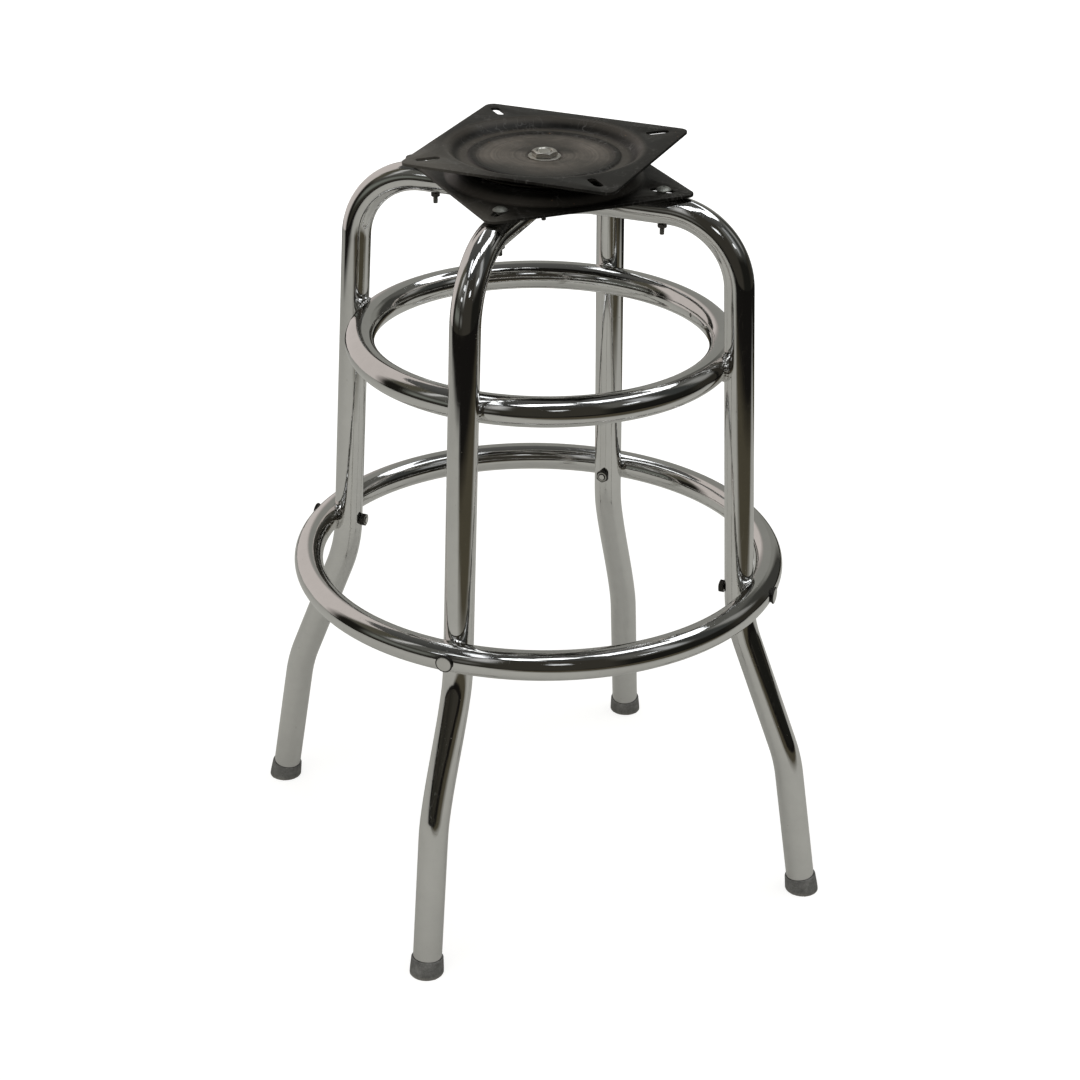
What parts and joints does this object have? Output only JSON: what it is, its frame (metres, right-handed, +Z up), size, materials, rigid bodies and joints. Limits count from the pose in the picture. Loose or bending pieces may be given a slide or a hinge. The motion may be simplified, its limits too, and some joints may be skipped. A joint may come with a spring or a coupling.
{
  "type": "counter stool base",
  "caption": "Chromed bent-tube counter stool base with a welded upper ring, a bolted foot ring, leg tips and a ball-bearing swivel plate ready for a seat.",
  "frame": {"origin": "on the floor, in the middle of the four feet, under the crossing of the two bent frames", "axes": "+Z up; -Y towards the front leg and +X towards the right leg, as seen by somebody who faces the front leg"},
  "size_m": [0.5584, 0.5202, 0.677],
  "materials": {
    "chrome": "bright chrome plate on steel tube",
    "black_steel": "satin black on pressed steel, a little brown where it catches the light",
    "zinc_steel": "dull zinc plate",
    "bright_steel": "bright plated steel",
    "dark_steel": "oiled plain steel",
    "grey_plastic": "matte dark grey moulded cap"
  },
  "bodies": {
    "base": {"frame_left_right": "chrome", "frame_front_back": "chrome", "upper_ring": "chrome", "foot_ring": "chrome", "ring_weld_right": "chrome", "ring_weld_back": "chrome", "ring_weld_left": "chrome", "ring_weld_front": "chrome", "ring_bolt_right": "chrome", "ring_bolt_back": "chrome", "ring_bolt_left": "chrome", "ring_bolt_front": "chrome", "ring_nut_right": "bright_steel", "ring_nut_back": "bright_steel", "ring_nut_left": "bright_steel", "ring_nut_front": "bright_steel", "leg_tip_right": "grey_plastic", "leg_tip_back": "grey_plastic", "leg_tip_left": "grey_plastic", "leg_tip_front": "grey_plastic", "lower_plate": "black_steel", "pivot_bolt": "zinc_steel", "pivot_nut": "zinc_steel", "pivot_washer": "zinc_steel", "thrust_washer": "dark_steel", "plate_screw_right": "bright_steel", "plate_screw_back": "bright_steel", "plate_screw_left": "bright_steel", "plate_screw_front": "bright_steel", "plate_nut_right": "dark_steel", "plate_nut_back": "dark_steel", "plate_nut_left": "dark_steel", "plate_nut_front": "dark_steel", "cross_bolt": "dark_steel", "cross_nut": "dark_steel"},
    "swivel_top": {"upper_plate": "black_steel"},
    "ball_race": {"ball_cage": "bright_steel", "bearing_ball_1": "bright_steel", "bearing_ball_2": "bright_steel", "bearing_ball_3": "bright_steel", "bearing_ball_4": "bright_steel", "bearing_ball_5": "bright_steel", "bearing_ball_6": "bright_steel", "bearing_ball_7": "bright_steel", "bearing_ball_8": "bright_steel", "bearing_ball_9": "bright_steel", "bearing_ball_10": "bright_steel", "bearing_ball_11": "bright_steel", "bearing_ball_12": "bright_steel"}
  },
  "joints": [
    {"name": "seat_swivel", "type": "hinge", "parent": "base", "child": "swivel_top", "pos_m": [0, 0, 0.663], "axis": [0, 0, 1], "continuous": true},
    {"name": "race_turn", "type": "hinge", "parent": "base", "child": "ball_race", "pos_m": [0, 0, 0.663], "axis": [0, 0, 1], "continuous": true}
  ],
  "couplings": [
    {"joint": "race_turn", "follows": "seat_swivel", "ratio": 0.5}
  ]
}
